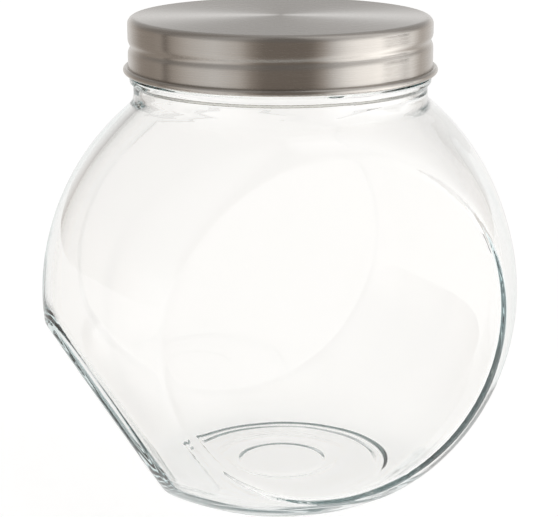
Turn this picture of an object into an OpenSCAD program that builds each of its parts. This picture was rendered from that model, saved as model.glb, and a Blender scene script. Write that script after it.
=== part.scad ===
// Glass storage jar with a tilting facet and a screw lid.
// Origin: middle of the base, on the axis of the neck. +Z up, flat faces at -Y and +Y,
// tilting facet towards -X.

/* [Glass body] */
// Radius of the ball that the body is cut from
ball_r = 90.5; // [88:0.5:93]
// Height of the ball's centre above the table
ball_z = 74.6; // [73:0.2:76]
// Distance from the middle to each flat face
flat_y = 64.5; // [62:0.5:68]
// Angle between the base and the tilting facet
facet_angle = 58.5; // [57:0.5:60]
// Distance from the ball's centre to the tilting facet
facet_dist = 81; // [80:0.1:82]
// Thickness of the round wall
wall = 3.6; // [3:0.1:4.4]
// Thickness of the two flat faces
flat_wall = 4; // [3:0.1:4.6]
// Thickness of the glass at the facet
facet_wall = 4.4; // [3.6:0.1:5]
// Thickness of the base
base_t = 5.2; // [4.8:0.2:7]
// Radius of the recess under the base
recess_r = 40.5; // [36:0.5:43]
// Depth of that recess
recess = 1.4; // [0.6:0.1:2]

/* [Neck] */
// Height of the mouth above the table
mouth_z = 175; // [174:0.5:177]
// Radius of the bore of the neck
bore_r = 49.6; // [47:0.2:50]
// Outer radius of the plain neck
neck_r = 54.2; // [54:0.1:54.6]
// Outer radius of the wall that carries the thread
finish_r = 53.3; // [53:0.1:53.5]
// Outer radius of the bead under the lid
bead_r = 55.5; // [55:0.1:55.8]
// Height of the middle of the bead
bead_z = 154.3; // [153.8:0.1:154.5]

/* [Thread] */
// Rise of the thread in one turn
lead = 5.08; // [4.8:0.02:5.4]
// Turns of thread on the glass
glass_turns = 1.25; // [1:0.05:1.35]
// Turns of thread rolled into the lid
lid_turns = 1.05; // [0.9:0.05:1.1]
// Height of the glass thread at its middle
glass_thread_z = 169.6; // [169.2:0.1:169.7]

/* [Lid] */
// Outer radius of the lid's wall
lid_r = 55.9; // [55.8:0.1:56.2]
// Depth of the lid, rolled rim included
lid_h = 20.4; // [20:0.1:20.6]
// Thickness of the sheet
sheet = 0.35; // [0.3:0.05:0.4]
// Radius of the corner between top and wall
corner_r = 2.4; // [1.6:0.2:3]
// Outer radius of the rolled rim
rim_r = 57.8; // [57.6:0.1:58]
// Thickness of the sealing disc
liner_t = 1.6; // [1.2:0.1:1.6]

/* [Hidden] */
$fn = 128;

big = 400;                             // longer than the jar, for cutting blocks
seat_gap = 0.03;                       // air left between faces that only touch
lid_top = mouth_z + liner_t + sheet + 2 * seat_gap;
rim_wire = (rim_r - lid_r + sheet) / 2;       // radius of the rolled rim's section
rim_mid_r = rim_r - rim_wire;
rim_mid_z = lid_top - lid_h + rim_wire;
liner_play = 0.3;                      // room round the sealing disc, inside the lid's corner
liner_r = lid_r - corner_r - liner_play;
cut_over = 1;                          // how far a cutter stands out of the glass it cuts
bore_deep = 60;                        // depth of the straight bore, from the mouth down
recess_cut = 32;                       // distance from the axis to the recess's straight side
mark_r = 16.2;                         // radius of the disc in the middle of the recess
mark = 0.6;                            // extra depth of that disc
neck_overlap = 20;                     // the neck's profile starts this far down in the ball
shoulder_wide = 5;                     // width of the slope where the neck meets the ball
shoulder_low = 4.4;                    // where that slope starts, below the plain join
shoulder_high = 3;                     // where it ends, above the plain join
bead_half = 0.8;                       // half height of the bead's flat
bead_slope = 1;                        // height of the slope above and below that flat
lip_bevel = 1.2;                       // bevel on the outer edge of the lip
thread_out_r = 54.9;                   // crest of the glass thread
thread_foot = 1.5;                     // half height of the glass thread at its foot
thread_crest = 0.5;                    // half height of the glass thread at its crest
thread_root = 0.4;                     // how deep the thread's foot lies in the wall
groove_in_r = 54.7;                    // floor of the groove rolled into the lid
groove_foot = 1.7;                     // half height of that groove at the wall
groove_floor = 0.35;                   // half height of its floor
groove_over = 0.6;                     // how far the groove's cutter stands out of the wall
groove_flare = 0.3;                    // its extra half height there
groove_back = 0.2;                     // the same two for the hollow behind the groove
groove_back_flare = 0.45;
groove_back_floor = 0.5;               // half height of that hollow's floor
groove_back_turns = 0.02;              // turns by which it is longer than the groove
corner_least = 0.2;                    // smallest radius of the lid's corner, inside
corner_steps = 4;                      // straight pieces in that corner
thread_drop = 2.1;                     // the lid's thread runs this far below the glass one
thread_mid_a = 251.4;                  // bearing of the middle of both threads, in degrees
ring_step = 9;                         // degrees between sections of a thread
fade = 30;                             // degrees over which a thread runs out
thread_least = 0.06;                   // share of its height that is left at the very end

// Points of an arc of radius r about c, from angle a to angle b, in n steps.
function arc_points(c, r, a, b, n) =
    [for (i = [0:n]) let (t = a + (b - a) * i / n) c + r * [cos(t), sin(t)]];

// The ball of radius r with its two flat faces, its base and its facet cut on. The four
// distances are from the ball's centre to the cuts.
module cut_ball(r, flat, facet, base) {
    translate([0, 0, ball_z]) difference() {
        sphere(r);
        for (side = [-1, 1]) translate([-big / 2, side > 0 ? flat : -flat - big, -big / 2]) cube(big);
        translate([-big / 2, -big / 2, -base - big]) cube(big);
        rotate([0, facet_angle, 0]) translate([-big / 2, -big / 2, -facet - big]) cube(big);
    }
}

// Plain neck, bead and the wall for the thread, as one turned profile.
module neck_outside() {
    foot_z = ball_z + sqrt(pow(ball_r, 2) - pow(neck_r, 2));
    rotate_extrude() polygon([
        [0, foot_z - neck_overlap], [neck_r - wall, foot_z - neck_overlap],
        [neck_r + shoulder_wide, foot_z - shoulder_low], [neck_r, foot_z + shoulder_high],
        [neck_r, bead_z - bead_half - bead_slope], [bead_r, bead_z - bead_half],
        [bead_r, bead_z + bead_half], [finish_r, bead_z + bead_half + bead_slope],
        [finish_r, mouth_z - lip_bevel], [finish_r - lip_bevel, mouth_z], [0, mouth_z]]);
}

// A ridge that climbs round the Z axis. Each section is a trapezium from radius foot_r to
// radius crest_r, 2 * foot and 2 * crest high; the crest sinks to the foot at both ends.
module helical_ridge(foot_r, crest_r, foot, crest, turns, mid_z) {
    half = turns * 180;
    n = ceil(2 * half / ring_step);
    sections = [for (i = [0:n]) let (
            a = -half + 2 * half * i / n,
            s = max(thread_least, min(1, (half - abs(a)) / fade)),
            r = foot_r + (crest_r - foot_r) * s,
            z = mid_z + lead * a / 360,
            t = a + thread_mid_a)
        [for (p = [[foot_r, -foot], [r, -crest], [r, crest], [foot_r, foot]])
            [p[0] * cos(t), p[0] * sin(t), z + p[1]]]];
    corners = 4;
    sides = [for (i = [0:n - 1], j = [0:corners - 1]) let (
            p = i * corners + j, q = i * corners + (j + 1) % corners)
        [p, p + corners, q + corners, q]];
    turned_out = crest_r > foot_r;
    caps = [[for (j = [0:corners - 1]) j], [for (j = [corners - 1:-1:0]) n * corners + j]];
    faces = concat(sides, caps);
    polyhedron([for (s = sections, p = s) p],
               turned_out ? [for (f = faces) [for (k = [len(f) - 1:-1:0]) f[k]]] : faces, convexity = 6);
}

// Recess under the base, inside the face that stands on the table: a disc cut straight on
// the side of the facet, with a deeper disc in its middle.
module underside() {
    translate([0, 0, -cut_over]) linear_extrude(recess + cut_over) intersection() {
        circle(recess_r);
        translate([-recess_cut, -recess_r]) square(2 * recess_r);
    }
    cylinder(r = mark_r, h = recess + mark);
}

module glass_jar() {
    color([0.86, 0.93, 0.92, 0.35]) {
        difference() {
            union() {
                cut_ball(ball_r, flat_y, facet_dist, ball_z);
                neck_outside();
                helical_ridge(finish_r - thread_root, thread_out_r, thread_foot, thread_crest,
                              glass_turns, glass_thread_z);
            }
            cut_ball(ball_r - wall, flat_y - flat_wall, facet_dist - facet_wall, ball_z - base_t);
            translate([0, 0, mouth_z - bore_deep]) cylinder(r = bore_r, h = bore_deep + cut_over);
            underside();
        }
    }
}

// Top, corner and wall of the lid, as a turned solid; inset by the sheet it gives the hollow.
module lid_form(inset) {
    r = lid_r - inset;
    e = max(corner_r - inset, corner_least);
    top = lid_top - inset;
    bottom = inset > 0 ? rim_mid_z - 2 * rim_wire : rim_mid_z;
    rotate_extrude() polygon(concat(
        [[0, bottom], [r, bottom]],
        arc_points([r - e, top - e], e, 0, 90, corner_steps),
        [[0, top]]));
}

module lid_shell() {
    groove_z = glass_thread_z - thread_drop;
    color([0.70, 0.68, 0.65]) {
        difference() {
            union() {
                difference() {
                    lid_form(0);
                    helical_ridge(lid_r + groove_over, groove_in_r, groove_foot + groove_flare,
                                  groove_floor, lid_turns, groove_z);
                }
                translate([0, 0, rim_mid_z]) rotate_extrude() translate([rim_mid_r, 0]) circle(rim_wire);
            }
            difference() {
                lid_form(sheet);
                helical_ridge(lid_r - sheet + groove_back, groove_in_r - sheet,
                              groove_foot + groove_back_flare, groove_back_floor,
                              lid_turns + groove_back_turns, groove_z);
            }
        }
    }
}

module sealing_disc() {
    color([0.94, 0.94, 0.92])
        translate([0, 0, mouth_z + seat_gap]) cylinder(r = liner_r, h = liner_t);
}

glass_jar();
lid_shell();
sealing_disc();
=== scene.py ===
# %% [markdown]
# # A clear glass jar with a brushed steel screw lid
#
# The real jar is three loose things: a body blown from clear soda-lime glass, a lid drawn
# from thin steel sheet, and a foam disc that lies inside the lid and seals the mouth. The
# body is a ball with two flat faces, a flat base and a slanted facet that lets it lean.
# Each piece here is one closed surface worked out with numpy, and each gets the finish
# that its maker gave it.

import bpy
import numpy as np
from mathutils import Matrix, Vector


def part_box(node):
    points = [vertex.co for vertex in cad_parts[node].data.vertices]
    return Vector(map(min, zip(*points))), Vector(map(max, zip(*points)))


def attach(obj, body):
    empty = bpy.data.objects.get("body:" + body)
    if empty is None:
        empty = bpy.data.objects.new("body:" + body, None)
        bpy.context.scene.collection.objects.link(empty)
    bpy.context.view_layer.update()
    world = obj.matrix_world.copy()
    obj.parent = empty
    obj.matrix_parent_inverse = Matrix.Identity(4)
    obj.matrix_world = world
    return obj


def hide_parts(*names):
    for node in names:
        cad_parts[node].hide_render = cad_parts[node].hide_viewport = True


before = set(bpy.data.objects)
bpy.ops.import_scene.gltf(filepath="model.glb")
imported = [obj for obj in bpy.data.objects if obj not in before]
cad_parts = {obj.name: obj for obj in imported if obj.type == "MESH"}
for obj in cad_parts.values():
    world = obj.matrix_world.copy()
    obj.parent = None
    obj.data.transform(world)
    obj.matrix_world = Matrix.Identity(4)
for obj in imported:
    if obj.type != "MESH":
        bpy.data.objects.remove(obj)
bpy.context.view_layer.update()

# %% [markdown]
# Every size below starts from the engineered solids. Their corners say how tall the jar
# is, how wide the lid is and how far apart the flat faces are, so nothing here has to be
# placed by eye. What a box can't tell, such as the thickness of the glass, is given in
# millimetres and turned to metres once.

# %% Sizes of the three pieces
MM = 0.001

jar_high = np.array(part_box("glass_jar")[1])
lid_low, lid_high = (np.array(corner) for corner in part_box("lid_shell"))
disc_low, disc_high = (np.array(corner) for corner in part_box("sealing_disc"))

mouth_z = jar_high[2]
flat_y = jar_high[1]
ball_r = jar_high[0]
ball_z = 74.6 * MM
facet_angle = np.radians(58.5)
facet_far = 81 * MM
rim_r = lid_high[0]
lid_r = 55.9 * MM
lid_top, lid_foot = lid_high[2], lid_low[2]
sheet = 0.35 * MM
thread_lead = 5.08 * MM
glass_turns, lid_turns = 1.25, 1.05
view_bearing = np.radians(251.4)
print(f"mouth at {mouth_z / MM:.1f} mm, ball {ball_r / MM:.1f} mm, lid {rim_r / MM:.1f} mm")

# %% [markdown]
# A surface is a grid of points: the rows run along an outline and the columns run round
# the axis. The last column joins the first. At each end the grid either closes to a single
# point on the axis, a pole, or the last row joins the first row again, which makes a skin
# that is closed like the wall of a cup. The faces are worked out as one array of corner
# numbers and handed to Blender in one go.

# %% Put a grid of points into a mesh
def grid_piece(name, points, poles):
    """A mesh from rows x columns points. Each face joins a point, its right neighbour, the
    one below that and the one below the point. With poles, the first and last rows are
    single points joined by fans of triangles; without, the last row joins the first."""
    rows, columns = points.shape[:2]
    number = np.arange(rows * columns).reshape(rows, columns)
    right = np.roll(number, -1, axis=1)
    if poles:
        upper, lower = number[1:-2], number[2:-1]
        upper_right, lower_right = right[1:-2], right[2:-1]
    else:
        upper, lower = number, np.roll(number, -1, axis=0)
        upper_right, lower_right = right, np.roll(right, -1, axis=0)
    quads = np.stack([upper, lower, lower_right, upper_right], axis=-1).reshape(-1, 4)
    first = np.stack([number[1], right[1], np.full(columns, number[0, 0])], axis=-1)
    last = np.stack([right[-2], number[-2], np.full(columns, number[-1, 0])], axis=-1)
    triangles = np.concatenate([first, last]) if poles else np.zeros((0, 3), int)
    corners = np.concatenate([quads.ravel(), triangles.ravel()])
    used, corners = np.unique(corners, return_inverse=True)
    sizes = np.concatenate([np.full(len(quads), 4), np.full(len(triangles), 3)])
    mesh = bpy.data.meshes.new(name)
    mesh.vertices.add(len(used))
    mesh.vertices.foreach_set("co", points.reshape(-1, 3)[used].ravel())
    mesh.loops.add(len(corners))
    mesh.loops.foreach_set("vertex_index", corners.astype(np.int32))
    mesh.polygons.add(len(sizes))
    mesh.polygons.foreach_set("loop_start", (np.cumsum(sizes) - sizes).astype(np.int32))
    mesh.polygons.foreach_set("use_smooth", np.ones(len(sizes), bool))
    mesh.update(calc_edges=True)
    mesh.validate()
    piece = bpy.data.objects.new(name, mesh)
    bpy.context.scene.collection.objects.link(piece)
    print(f"{name}: {len(used)} points, {2 * len(quads) + len(triangles)} triangles")
    return piece


def spread(*stretches):
    """Values that run from stop to stop: each stretch is (from, to, how many steps), and a
    stretch starts where the one before ended."""
    runs = [np.linspace(a, b, n, endpoint=False) for a, b, n in stretches]
    return np.concatenate(runs + [[stretches[-1][1]]])


def rounded_outline(corners, step):
    """A path through (radius, height, rounding) corners. Each corner is replaced by a true
    arc that touches both of its sides, and straight runs are cut into even steps."""
    corners = np.array(corners)
    at, rounding = corners[:, :2], corners[:, 2]
    path = [at[0]]
    for k in range(1, len(at) - 1):
        a, b = at[k - 1] - at[k], at[k + 1] - at[k]
        a, b = a / np.linalg.norm(a), b / np.linalg.norm(b)
        half = 0.5 * np.arccos(np.clip(a @ b, -1, 1))
        if rounding[k] <= 0 or half > np.radians(89.5):
            path.append(at[k])
            continue
        middle = at[k] + (a + b) / np.linalg.norm(a + b) * rounding[k] / np.sin(half)
        start = at[k] + a * rounding[k] / np.tan(half)
        stop = at[k] + b * rounding[k] / np.tan(half)
        turns = max(3, int(np.ceil((np.pi - 2 * half) * rounding[k] / (0.5 * step))) + 2)
        share = np.linspace(0, 1, turns)[:, None]
        sweep = np.pi - 2 * half
        weight = np.sin((1 - share) * sweep), np.sin(share * sweep)
        arc = (weight[0] * (start - middle) + weight[1] * (stop - middle)) / np.sin(sweep)
        path.extend(middle + arc)
    path.append(at[-1])
    path = np.array(path)
    lengths = np.linalg.norm(np.diff(path, axis=0), axis=1)
    runs = [np.linspace(p, q, max(1, int(np.ceil(s / step))), endpoint=False)
            for p, q, s in zip(path[:-1], path[1:], lengths) if s > 1e-9]
    return np.concatenate(runs + [path[-1:]])


def turned(outline, bearings):
    """An outline of (radius, height) points carried round the Z axis."""
    radius, height = outline[:, 0, None], outline[:, 1, None]
    x, y = radius * np.cos(bearings), radius * np.sin(bearings)
    return np.stack([x, y, np.broadcast_to(height, x.shape)], axis=-1)


def smooth_step(x):
    """Rises from 0 to 1 as x does, with level ends: three x squared less two x cubed."""
    x = np.clip(x, 0, 1)
    return x * x * (3 - 2 * x)


# %% [markdown]
# The body of the jar is a ball that four planes cut. To find its wall in some direction
# from the ball's centre, ask how much of the way each surface lets a ray go: the ball
# stops it at its radius, and a plane stops it at the plane's distance divided by how
# squarely the ray meets it. The nearest one wins. Taking a high-power mean instead of the
# plain nearest lets neighbours share the decision where they are almost as near, which
# rounds each edge. A lower power gives a softer edge, and each kind of edge has its own.
# The ball isn't quite true: half-way between its middle and each flat it is about 1.5 mm
# flatter.

# %% How far the wall of the body is in a direction
flattening, flat_edge = 0.0165, 0.7


def body_reach(direction, inset, powers):
    """Distance from the ball's centre to the wall along unit directions. One over the reach
    is the P-norm of one over each surface's own reach: (sum of (1/reach) to the P) to the
    1/P. The flats, then the facet, then the base join in, each with its own P; the base has
    one beside the facet and one opposite. inset is how far each surface lies inside the
    outer one: ball, flats, facet, base."""
    x, y, z = np.moveaxis(direction, -1, 0)
    flat_power, facet_power, near_power, far_power = powers
    base_power = near_power + (far_power - near_power) * smooth_step((x + 0.5) / 0.7)
    tilt = np.maximum(-x * np.sin(facet_angle) - z * np.cos(facet_angle), 0)
    flattened = 1 - flattening * np.sin(np.pi * np.minimum(np.abs(y) / flat_edge, 1)) ** 2
    ball = 1 / (ball_r * flattened - inset[0])
    flat = np.abs(y) / (flat_y - inset[1])
    facet = tilt / (facet_far - inset[2])
    base = np.maximum(-z, 0) / (ball_z - inset[3])
    nearness = (ball ** flat_power + flat ** flat_power) ** (1 / flat_power)
    nearness = (nearness ** facet_power + facet ** facet_power) ** (1 / facet_power)
    nearness = (nearness ** base_power + base ** base_power) ** (1 / base_power)
    return 1 / nearness


def body_surface(polar, bearings, inset, powers, neck_r, neck_power):
    """Points of the body for polar angles from straight up and bearings round the axis. The
    neck is a tube that takes over where it reaches further than the ball, by the same kind
    of mean with a positive power, which leaves a hollow fillet in the shoulder."""
    polar = polar[:, None] + np.zeros_like(bearings)
    direction = np.stack([np.sin(polar) * np.cos(bearings), np.sin(polar) * np.sin(bearings),
                          np.cos(polar)], axis=-1)
    reach = body_reach(direction, inset, powers)
    tube = np.where(polar < np.pi / 2, neck_r / np.maximum(np.sin(polar), 0.2), 0)
    reach = reach * (1 + (tube / reach) ** neck_power) ** (1 / neck_power)
    return direction * reach[..., None] + [0, 0, ball_z], direction


# %% [markdown]
# An edge between a flat and the ball is only a millimetre or two wide, and it draws the
# darkest line on the jar, so the grid crowds its columns where they cross an edge. Seen
# from the ball's centre each flat is a round patch of sky; on a given row its two sides
# are a certain bearing away from its middle. The columns are then spaced evenly in the
# running total of a density that is one everywhere and peaks on those bearings.

# %% Columns that crowd at the edges of the flats
def crowded(polar, columns, extra, width):
    """Bearings for each row of polar angles. Half the patch's width on a row is the angle
    whose cosine is (cos size - cos row cos middle) / (sin row sin middle)."""
    across = np.linspace(0, 2 * np.pi, 2400)
    density = np.ones((len(polar), len(across)))
    flat_size = np.arccos(flat_y / ball_r)
    facet_size = np.arccos(facet_far / ball_r)
    patches = [(np.pi / 2, np.pi / 2, flat_size), (np.pi / 2, 1.5 * np.pi, flat_size),
               (np.pi - facet_angle, np.pi, facet_size)]
    for middle_polar, middle_bearing, size in patches:
        half = (np.cos(size) - np.cos(polar) * np.cos(middle_polar)) / (
            np.sin(polar) * np.sin(middle_polar) + 1e-9)
        half = np.arccos(np.clip(half, -1, 1))[:, None]
        for side in (-1, 1):
            density += extra * np.exp(-((across - middle_bearing - side * half) / width) ** 2)
    total = np.cumsum(density, axis=1) - density[:, :1]
    even = np.arange(columns) / columns
    return np.stack([np.interp(even, row / row[-1], across) for row in total])


# %% [markdown]
# The outside of the glass starts on the lip, goes down over the threaded wall and the bead
# under the lid, and meets the ball at the shoulder. Below the ball it crosses the base,
# where the recess is pressed in: a shallow disc with one straight side beside the facet, a
# low step inside its edge, and a smaller disc in its middle. The thread is a ridge that
# climbs round the neck once and a quarter.

# %% The outside of the glass
columns = 280
bearings = np.linspace(0, 2 * np.pi, columns, endpoint=False)

bore_r = 49.6 * MM
neck_r = 54.2 * MM
finish_r = 53.3 * MM
bead_r = 55.5 * MM
bead_z = 154.3 * MM
lip_middle = (bore_r + finish_r) / 2
neck_join_z = 150.2 * MM
thread_z, thread_high, thread_half = 169.6 * MM, 1.6 * MM, 1.0 * MM


def helix_bump(z, middle_z, turns, width):
    """1 on a helix that climbs round the axis and 0 away from it. Each turn of the helix
    adds a bell curve in height; the curve fades out over the last twelfth of a turn."""
    wrapped = (bearings - view_bearing + np.pi) % (2 * np.pi) - np.pi
    total = np.zeros(np.broadcast(z, bearings).shape)
    for turn in (-1, 0, 1):
        angle = wrapped + 2 * np.pi * turn
        shown = smooth_step((turns * np.pi - np.abs(angle)) / np.radians(30))
        height = middle_z + thread_lead * angle / (2 * np.pi)
        total = np.maximum(total, shown * np.exp(-((z - height) / width) ** 2))
    return total


finish_line = rounded_outline([
    (lip_middle, mouth_z, 0),
    (finish_r, mouth_z, 1.2 * MM),
    (finish_r, bead_z + 1.5 * MM, 0.5 * MM),
    (bead_r, bead_z + 1.0 * MM, 0.7 * MM),
    (bead_r, bead_z - 0.9 * MM, 0.8 * MM),
    (neck_r, bead_z - 1.9 * MM, 0.6 * MM),
    (neck_r, neck_join_z, 0)], 0.55 * MM)
finish = turned(finish_line, bearings)
on_thread = helix_bump(finish[..., 2], thread_z, glass_turns, thread_half)
on_thread *= (finish[..., 2] > bead_z + 1.8 * MM) & (finish_line[:, :1] > finish_r - 0.01 * MM)
finish[..., :2] *= 1 + on_thread[..., None] * thread_high / finish_r

join_angle = np.arctan2(neck_r, neck_join_z - ball_z)
rows = [(43, 9), (48, 14), (92, 32), (98, 10), (131, 22), (137, 14), (144.1, 10), (180, 58)]
stops = np.radians([np.degrees(join_angle)] + [stop for stop, _ in rows])
polar = spread(*zip(stops[:-1], stops[1:], [count for _, count in rows]))[1:]
outside, _ = body_surface(polar, crowded(polar, columns, 3.0, 0.06), (0, 0, 0, 0),
                          (220, 200, 90, 30), neck_r, 110)

recess_r, recess_cut, recess_deep = 40.5 * MM, 32 * MM, 1.4 * MM
recess_ramp = 2.4 * MM
step_in, step_deep, step_ramp = 4.6 * MM, 0.45 * MM, 1.6 * MM
mark_r, mark_deep, mark_ramp = 16.2 * MM, 0.5 * MM, 1.2 * MM
radius = np.hypot(outside[..., 0], outside[..., 1])
round_side, straight_side = recess_r - radius, outside[..., 0] + recess_cut
inwards = np.minimum(round_side, straight_side)
under = outside[..., 2] < 3 * MM
outside[..., 2] += under * recess_deep * smooth_step(inwards / recess_ramp + 0.5)
outside[..., 2] += under * step_deep * smooth_step((inwards - step_in) / step_ramp + 0.5)
outside[..., 2] += under * mark_deep * smooth_step((mark_r - radius) / mark_ramp + 0.5)

# %% [markdown]
# The inside is drawn the same way, but each surface lies a wall's thickness further in and
# the edges have powers of their own, because air, not a mould, shaped that side. The edges
# of the two flats come out softer than outside, and the facet's about as sharp. A slow
# unevenness of a few tenths of a millimetre is left in the inner face. It is what makes
# the lines behind blown glass waver. The floor also gets a faint ring and the heel fine
# wrinkles. Their places are made up; they stand for the small marks that forming leaves.

# %% The inside of the glass
def unevenness(direction):
    """A slow swelling between -1 and 1: three waves along slanted directions, added."""
    x, y, z = np.moveaxis(direction, -1, 0)
    waves = np.sin(5.1 * x + 2.3 * z + 0.7) + np.sin(4.3 * z - 3.1 * y + 2.0)
    return (waves + np.sin(6.7 * y + 2.9 * x - 1.1)) / 3


wall, flat_wall, facet_wall, base_wall = 3.6 * MM, 4.0 * MM, 4.4 * MM, 5.2 * MM
swelling = 0.28 * MM
wrinkle_deep, wrinkle_apart, wrinkle_bend = 0.14 * MM, 1.6 * MM, 9 * MM
ring_r, ring_half, ring_deep = 22.5 * MM, 1.6 * MM, 0.45 * MM
floor_top, floor_fade = 18 * MM, 10 * MM
heel_start, heel_wide = 34 * MM, 8 * MM
bore_join_z = 152 * MM
bore_line = rounded_outline([
    (bore_r, bore_join_z, 0),
    (bore_r, mouth_z, 1.3 * MM),
    (lip_middle, mouth_z, 0)], 1.6 * MM)[1:-1]
bore = turned(bore_line, bearings)

bore_angle = np.arctan2(bore_r, bore_join_z - ball_z)
rows = [(137, 28), (131, 12), (98, 14), (92, 5), (48, 20), (43, 9)]
stops = np.append(np.radians([180] + [stop for stop, _ in rows]), bore_angle)
polar = spread(*zip(stops[:-1], stops[1:], [count for _, count in rows] + [8]))
inside, direction = body_surface(
    polar, crowded(polar, columns, 2.0, 0.08), (wall, flat_wall, facet_wall, base_wall),
    (160, 100, 60, 30), bore_r, 45)
away_from_neck = smooth_step((polar - bore_angle) / 0.3)[:, None]
inside += direction * (swelling * unevenness(direction) * away_from_neck)[..., None]

radius = np.hypot(inside[..., 0], inside[..., 1])
bearing = np.arctan2(inside[..., 1], inside[..., 0])
low = smooth_step((floor_top - inside[..., 2]) / floor_fade)
wrinkles = np.sin(radius / wrinkle_apart + 1.5 * np.sin(3 * bearing))
wrinkles *= np.sin(5 * bearing + radius / wrinkle_bend)
floor_ring = np.exp(-((radius - ring_r) / ring_half) ** 2)
heel = smooth_step((radius - heel_start) / heel_wide)
inside[..., 2] += low * (wrinkle_deep * wrinkles * heel - ring_deep * floor_ring)

# %% [markdown]
# Outside and inside are one closed wall: the rows run down the outside to the middle of
# the base, and from the middle of the floor up the inside to the lip again. The two
# middles are poles, so the wall is put together from two sheets that share the lip's row.

# %% Close the wall of the glass
def two_skins(name, outer, inner):
    """One closed piece from an outer sheet and an inner one. Each ends in a pole, and the
    inner sheet's last row is followed by the outer sheet's first row."""
    rows = np.concatenate([inner, outer])
    return grid_piece(name, rows, poles=True)


glass = two_skins("glass_body", np.concatenate([finish, outside]), np.concatenate([inside, bore]))
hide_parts("glass_jar")
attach(glass, "jar")

# %% [markdown]
# The lid is pressed from one disc of sheet. Its top is flat, a small round corner leads
# into the wall, a thread is rolled into the wall from outside, and the cut edge is curled
# outwards until it is hidden, which leaves a hollow bead. The outline is followed down the
# outside, round the curl and back up the inside, one sheet thickness away.

# %% The lid
columns = 330
bearings = np.linspace(0, 2 * np.pi, columns, endpoint=False)

corner = 2.6 * MM
curl_r = (rim_r - lid_r + sheet) / 2
curl_at = np.array([rim_r - curl_r, lid_foot + curl_r])
groove_z, groove_deep, groove_width = 167.5 * MM, 0.85 * MM, 1.3 * MM


def curl(radius, start, stop, count):
    """Points on the curl's section at that radius, for angles in degrees from outwards."""
    angle = np.radians(np.linspace(start, stop, count))
    return curl_at + radius * np.stack([np.cos(angle), np.sin(angle)], axis=-1)


def lid_skin(inset):
    """Outline of the top, the corner and the wall, at that depth under the outer face."""
    return rounded_outline([
        (0, lid_top - inset, 0),
        (lid_r - inset, lid_top - inset, corner - inset),
        (lid_r - inset, curl_at[1] + 0.4 * curl_r, 0)], 0.6 * MM)


outer_line = np.concatenate([lid_skin(0), curl(curl_r, 115, -190, 24)])
inner_line = lid_skin(sheet)[::-1]
lid_line = np.concatenate([outer_line, inner_line])
lid_points = turned(lid_line, bearings)
on_wall = (lid_points[..., 2] > curl_at[1] + 2 * curl_r) & (lid_line[:, :1] > lid_r - 0.5 * MM)
groove = helix_bump(lid_points[..., 2], groove_z, lid_turns, groove_width) * on_wall
lid_points[..., :2] *= 1 - groove[..., None] * groove_deep / lid_r
lid = grid_piece("lid_cap", lid_points, poles=True)
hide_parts("lid_shell")
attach(lid, "lid")

# %% [markdown]
# The sealing disc is cut from a sheet of closed-cell foam. Tightening the lid presses the
# lip of the glass into it, and the ring stays in its lower face.

# %% The sealing disc
columns = 180
bearings = np.linspace(0, 2 * np.pi, columns, endpoint=False)

disc_r = disc_high[0]
disc_line = rounded_outline([
    (0, disc_high[2], 0),
    (disc_r, disc_high[2], 0.35 * MM),
    (disc_r, disc_low[2], 0.35 * MM),
    (0, disc_low[2], 0)], 0.7 * MM)
disc_points = turned(disc_line, bearings)
pressed = np.exp(-((disc_line[:, :1] - lip_middle) / (1.4 * MM)) ** 2)
pressed = pressed * (disc_line[:, 1:] < (disc_low[2] + disc_high[2]) / 2)
disc_points[..., 2] += 0.25 * MM * pressed
disc = grid_piece("foam_disc", disc_points, poles=True)
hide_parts("sealing_disc")
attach(disc, "liner")

# %% [markdown]
# A material is a little tree of nodes. One function adds a node, sets its options, and
# fills its inputs: a plain value is set on the input, and another node's output is linked
# to it. Colours are written as sRGB hex values, as a paint chart gives them, and turned to
# linear light once.

# %% Helpers for materials
def linear(hex_colour):
    """sRGB hex to linear light: each channel goes through the standard sRGB curve."""
    channel = np.array([int(hex_colour[k:k + 2], 16) for k in (1, 3, 5)]) / 255
    light = np.where(channel <= 0.04045, channel / 12.92, ((channel + 0.055) / 1.055) ** 2.4)
    return (*light.tolist(), 1.0)


def add(tree, kind, inputs=(), **options):
    """Adds a node. inputs are (name or number, value or output socket) pairs."""
    node = tree.nodes.new(kind)
    for option, value in options.items():
        setattr(node, option, value)
    for name, value in inputs:
        if isinstance(value, bpy.types.NodeSocket):
            tree.links.new(value, node.inputs[name])
        else:
            node.inputs[name].default_value = value
    return node


def new_material(name):
    """An empty node material with its output, ready to be filled."""
    material = bpy.data.materials.new(name)
    material.use_nodes = True
    material.node_tree.nodes.clear()
    return material, material.node_tree, add(material.node_tree, "ShaderNodeOutputMaterial")


# %% [markdown]
# Soda-lime glass is almost colourless through its wall and turns a cool green-grey only
# where light runs along inside it, at the edges. That colour belongs to the depth of the
# glass, so it is an absorption in its volume, not a paint on its surface. The surface
# itself is smooth but not optical: blowing leaves a faint, broad ripple.

# %% Clear soda-lime glass, blown
glass_material, tree, output = new_material("clear_soda_lime_glass_blown")
place = add(tree, "ShaderNodeTexCoord")
ripple = add(tree, "ShaderNodeTexNoise", [
    ("Vector", place.outputs["Object"]), ("Scale", 1 / (28 * MM)), ("Detail", 1.0)])
bump = add(tree, "ShaderNodeBump", [
    ("Strength", 0.12), ("Distance", 1.0 * MM), ("Height", ripple.outputs["Fac"])])
shader = add(tree, "ShaderNodeBsdfPrincipled", [
    ("Base Color", linear("#fffefd")), ("Roughness", 0.0), ("IOR", 1.52),
    ("Transmission Weight", 1.0), ("Normal", bump.outputs["Normal"])])
depth = add(tree, "ShaderNodeVolumeAbsorption", [
    ("Color", linear("#b9d9dc")), ("Density", 7.0)])
tree.links.new(shader.outputs["BSDF"], output.inputs["Surface"])
tree.links.new(depth.outputs["Volume"], output.inputs["Volume"])
glass.data.materials.append(glass_material)
glass.visible_shadow = False

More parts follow.
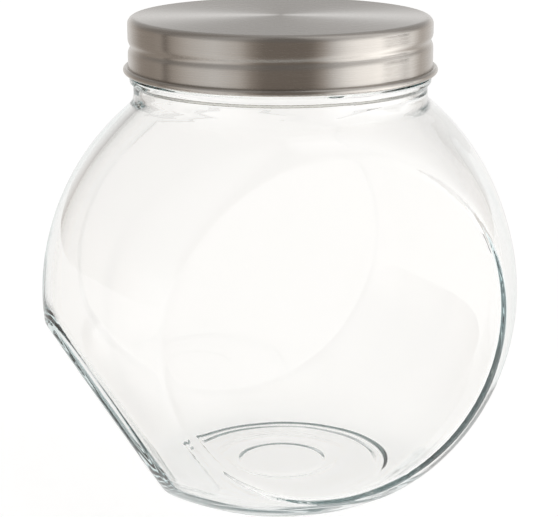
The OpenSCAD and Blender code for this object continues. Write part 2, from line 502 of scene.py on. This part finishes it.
# %% [markdown]
# The lid is stainless sheet, brushed as it spins on a mandrel, so the scratches are rings:
# round the centre on the top and round the wall on the side. Scratches stretch a highlight
# across their own direction. That gives the two bright fans on the top and the upright
# bands on the wall. The shader does the stretching, from a tangent that runs round the
# axis, and a noise with very different scales along and across the rings draws the
# scratches that are wide enough to see.

# %% Stainless steel, spun-brushed
steel_material, tree, output = new_material("stainless_steel_spun_brushed")
place = add(tree, "ShaderNodeTexCoord")
axes = add(tree, "ShaderNodeSeparateXYZ", [("Vector", place.outputs["Object"])])
across = add(tree, "ShaderNodeCombineXYZ", [(0, axes.outputs["X"]), (1, axes.outputs["Y"])])
radius = add(tree, "ShaderNodeVectorMath", [(0, across.outputs[0])], operation="LENGTH")
outwards = add(tree, "ShaderNodeVectorMath", [(0, across.outputs[0])], operation="NORMALIZE")
ring = add(tree, "ShaderNodeMath", [
    (0, radius.outputs["Value"]), (1, axes.outputs["Z"])], operation="SUBTRACT")
ring_scale = add(tree, "ShaderNodeMath", [
    (0, ring.outputs[0]), (1, 1 / (0.22 * MM))], operation="MULTIPLY")
along = add(tree, "ShaderNodeVectorMath", [
    (0, outwards.outputs["Vector"]), (1, (3.0, 3.0, 3.0))], operation="MULTIPLY")
upright = add(tree, "ShaderNodeCombineXYZ", [(2, ring_scale.outputs[0])])
scratch_at = add(tree, "ShaderNodeVectorMath", [
    (0, along.outputs["Vector"]), (1, upright.outputs[0])], operation="ADD")
scratches = add(tree, "ShaderNodeTexNoise", [
    ("Vector", scratch_at.outputs["Vector"]), ("Scale", 1.0), ("Detail", 4.0),
    ("Roughness", 0.7)])
tone = add(tree, "ShaderNodeMix", [
    ("Factor", scratches.outputs["Fac"]), ("A", linear("#b4aea7")), ("B", linear("#d2cdc7"))],
    data_type="RGBA")
dull = add(tree, "ShaderNodeMapRange", [
    ("Value", scratches.outputs["Fac"]), ("To Min", 0.2), ("To Max", 0.32)])
bump = add(tree, "ShaderNodeBump", [
    ("Strength", 0.25), ("Distance", 0.02 * MM), ("Height", scratches.outputs["Fac"])])
tangent = add(tree, "ShaderNodeTangent", direction_type="RADIAL", axis="Z")
shader = add(tree, "ShaderNodeBsdfPrincipled", [
    ("Base Color", tone.outputs["Result"]), ("Metallic", 1.0), ("Roughness", dull.outputs[0]),
    ("Anisotropic", 0.9), ("Anisotropic Rotation", 0.25), ("Tangent", tangent.outputs[0]),
    ("Normal", bump.outputs["Normal"])])
tree.links.new(shader.outputs["BSDF"], output.inputs["Surface"])
lid.data.materials.append(steel_material)

# %% [markdown]
# Closed-cell polyethylene foam is matt and off-white. Its skin shows a fine pebble of the
# cells beneath, about half a millimetre across.

# %% Polyethylene foam, closed-cell
foam_material, tree, output = new_material("polyethylene_foam_closed_cell")
place = add(tree, "ShaderNodeTexCoord")
cells = add(tree, "ShaderNodeTexVoronoi", [
    ("Vector", place.outputs["Object"]), ("Scale", 1 / (0.5 * MM))])
tone = add(tree, "ShaderNodeMix", [
    ("Factor", cells.outputs["Distance"]), ("A", linear("#f3f2ec")), ("B", linear("#e4e3dc"))],
    data_type="RGBA")
bump = add(tree, "ShaderNodeBump", [
    ("Strength", 0.4), ("Distance", 0.1 * MM), ("Height", cells.outputs["Distance"])])
shader = add(tree, "ShaderNodeBsdfPrincipled", [
    ("Base Color", tone.outputs["Result"]), ("Roughness", 0.8), ("IOR", 1.5),
    ("Normal", bump.outputs["Normal"])])
tree.links.new(shader.outputs["BSDF"], output.inputs["Surface"])
disc.data.materials.append(foam_material)

# %% [markdown]
# Clear glass has no look of its own: it shows the room. A white sweep makes it bright, and
# dark gaps between the lamps draw its edges. So the room is a pale floor that glows a
# little, a ring of lighter and darker upright panels all round, one narrow dark gap low on
# the right, a dimmer copy of the panels overhead, and an even light from far below. The
# floor is left out of mirror reflections, so that light reaches the glass from below too.

# %% The floor
floor_mesh = bpy.data.meshes.new("floor")
reach = 4.0
floor_mesh.from_pydata(
    [(-reach, -reach, 0), (reach, -reach, 0), (reach, reach, 0), (-reach, reach, 0)], [],
    [(0, 1, 2, 3)])
floor = bpy.data.objects.new("floor", floor_mesh)
floor.location.z = -0.02 * MM
bpy.context.scene.collection.objects.link(floor)
floor_material, tree, output = new_material("back_lit_white_acrylic")
shader = add(tree, "ShaderNodeBsdfPrincipled", [
    ("Base Color", linear("#e8e8e8")), ("Roughness", 0.9), ("Specular IOR Level", 0.0),
    ("Emission Color", linear("#ffffff")), ("Emission Strength", 0.655)])
tree.links.new(shader.outputs["BSDF"], output.inputs["Surface"])
floor.data.materials.append(floor_material)
floor.visible_glossy = False

# %% The surround
world = bpy.data.worlds.new("studio")
world.use_nodes = True
tree = world.node_tree
tree.nodes.clear()
place = add(tree, "ShaderNodeTexCoord")
looking = add(tree, "ShaderNodeMapping", [
    ("Vector", place.outputs["Generated"]), ("Rotation", (0, 0, -view_bearing))])
axes = add(tree, "ShaderNodeSeparateXYZ", [("Vector", looking.outputs[0])])
bearing = add(tree, "ShaderNodeMath", [
    (0, axes.outputs["Y"]), (1, axes.outputs["X"])], operation="ARCTAN2")
share = add(tree, "ShaderNodeMapRange", [
    ("Value", bearing.outputs[0]), ("From Min", -np.pi), ("From Max", np.pi)])
cards = add(tree, "ShaderNodeValToRGB", [("Fac", share.outputs[0])])
soft_boxes = [
    (-180, 0.9), (-152, 0.78), (-128, 0.36), (-109, 0.36), (-99, 0.45), (-95, 0.08), (-90, 0.42),
    (-82, 0.56), (-71, 0.75), (-50, 0.92), (-31, 0.7), (-22, 0.34), (-13, 0.2), (23, 0.2),
    (32, 0.44), (41, 0.94), (51, 1.37), (61, 1.6), (76, 1.7), (84, 2.0), (96, 2.25),
    (112, 1.35), (128, 0.58), (155, 0.82), (180, 0.9)]
dark, warm = 0.9, np.array([1.2, 1.0, 0.84])
stops = cards.color_ramp.elements
while len(stops) < len(soft_boxes):
    stops.new(0.5)
for stop, (degrees, light) in zip(stops, soft_boxes):
    stop.position = degrees / 360 + 0.5
    stop.color = (*(light * warm ** np.clip(1 - light / dark, 0, 1)), 1)
gap_height, gap_half_height = -0.03, 0.1
low_band = add(tree, "ShaderNodeMath", [
    (0, axes.outputs["Z"]), (1, gap_height), (2, gap_half_height)], operation="COMPARE")
gap = add(tree, "ShaderNodeValToRGB", [("Fac", share.outputs[0])])
dark_gap = [(79, 1.0), (84, 0.04), (107, 0.04), (112, 1.0)]
for degrees, light in dark_gap:
    stop = gap.color_ramp.elements.new(degrees / 360 + 0.5)
    stop.color = (light, light, light, 1)
for end in (0, -1):
    gap.color_ramp.elements[end].color = (1, 1, 1, 1)
gapped = add(tree, "ShaderNodeMix", [
    ("Factor", low_band.outputs[0]), ("A", cards.outputs["Color"]), ("B", gap.outputs["Color"])],
    data_type="RGBA", blend_type="MULTIPLY")
below, far_below = (0.66, 0.68, 0.68, 1), (-0.72, -0.9)
bounce = add(tree, "ShaderNodeMapRange", [
    ("Value", axes.outputs["Z"]), ("From Min", far_below[0]), ("From Max", far_below[1])],
    interpolation_type="SMOOTHSTEP")
lower = add(tree, "ShaderNodeMix", [
    ("Factor", bounce.outputs[0]), ("A", gapped.outputs["Result"]), ("B", below)],
    data_type="RGBA")
overhead = add(tree, "ShaderNodeMapRange", [
    ("Value", axes.outputs["Z"]), ("From Min", 0.06), ("From Max", 0.36)],
    interpolation_type="SMOOTHSTEP")
ceiling = add(tree, "ShaderNodeMix", [
    ("Factor", 0.6), ("A", cards.outputs["Color"]), ("B", (0.2, 0.2, 0.2, 1))],
    data_type="RGBA")
room = add(tree, "ShaderNodeMix", [
    ("Factor", overhead.outputs[0]), ("A", lower.outputs["Result"]),
    ("B", ceiling.outputs["Result"])], data_type="RGBA")
sky = add(tree, "ShaderNodeBackground", [("Color", room.outputs["Result"]), ("Strength", 1.0)])
output = add(tree, "ShaderNodeOutputWorld", [("Surface", sky.outputs[0])])
bpy.context.scene.world = world

# %% [markdown]
# The camera stands to the left of the front face and a little above the lid, looking down
# at the middle of the jar with a long lens, so the upright edges stay almost upright.

# %% The camera
jar_height = 176.1 * MM
stand_off, eye_height = 3.5921 * jar_height, 1.4642 * jar_height
turn, pitch = np.radians(18.594), np.radians(15.305)

camera_data = bpy.data.cameras.new("camera")
camera_data.sensor_width = 36
camera_data.lens = 111.55
camera_data.shift_x = -0.0026
camera_data.clip_start = 0.01
camera = bpy.data.objects.new("camera", camera_data)
camera.location = (-stand_off * np.sin(turn), -stand_off * np.cos(turn), eye_height)
camera.rotation_euler = (np.pi / 2 - pitch, 0, -turn)
bpy.context.scene.collection.objects.link(camera)
bpy.context.scene.camera = camera
bpy.context.scene.view_settings.view_transform = "Standard"
light_paths = bpy.context.scene.cycles
light_paths.max_bounces = light_paths.glossy_bounces = light_paths.transmission_bounces = 40
